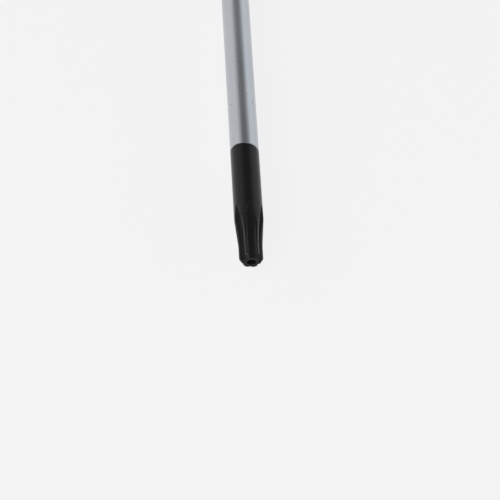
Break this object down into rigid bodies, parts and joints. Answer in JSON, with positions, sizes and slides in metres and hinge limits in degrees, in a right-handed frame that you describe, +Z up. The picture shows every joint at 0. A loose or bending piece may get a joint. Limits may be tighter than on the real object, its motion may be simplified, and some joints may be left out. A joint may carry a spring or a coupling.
{
  "type": "precision screwdriver",
  "caption": "Slim hand screwdriver: hexalobular tip bored for a security pin, plated round shank, soft-grip handle with an anti-roll collar, swivel cap on a ball bearing.",
  "frame": {"origin": "middle of the tool's length, on the surface that it lies on, below its axis", "axes": "+X along the tool's axis towards the tip, +Z up from the surface that a flat of the collar rests on"},
  "size_m": [0.154, 0.0144, 0.013],
  "materials": {
    "blade_steel": "satin",
    "core_plastic": "satin",
    "grip_rubber": "matte",
    "code_plastic": "satin",
    "pin_steel": "satin",
    "race_steel": "polished",
    "shim_brass": "satin",
    "clip_steel": "satin",
    "shield_steel": "satin",
    "cage_nylon": "satin",
    "ball_steel": "polished"
  },
  "bodies": {
    "driver": {"blade": "blade_steel", "handle_core": "core_plastic", "size_ring": "code_plastic", "precision_grip": "grip_rubber", "power_grip": "grip_rubber", "spin_grip": "grip_rubber", "pivot_pin": "pin_steel", "bearing_inner_race": "race_steel", "shim_washer": "shim_brass", "retaining_clip": "clip_steel"},
    "swivel_cap": {"cap_shell": "core_plastic", "cap_grip": "grip_rubber", "end_cover": "code_plastic", "bearing_outer_race": "race_steel", "bearing_shield_front": "shield_steel", "bearing_shield_rear": "shield_steel"},
    "ball_set": {"ball_cage": "cage_nylon", "bearing_ball_1": "ball_steel", "bearing_ball_2": "ball_steel", "bearing_ball_3": "ball_steel", "bearing_ball_4": "ball_steel", "bearing_ball_5": "ball_steel", "bearing_ball_6": "ball_steel", "bearing_ball_7": "ball_steel"}
  },
  "joints": [
    {"name": "cap_spin", "type": "hinge", "parent": "driver", "child": "swivel_cap", "pos_m": [-0.06753, 0, 0.0065], "axis": [1, 0, 0], "continuous": true},
    {"name": "cage_spin", "type": "hinge", "parent": "driver", "child": "ball_set", "pos_m": [-0.06753, 0, 0.0065], "axis": [1, 0, 0], "continuous": true}
  ],
  "couplings": [
    {"joint": "cage_spin", "follows": "cap_spin", "ratio": 0.60909}
  ]
}
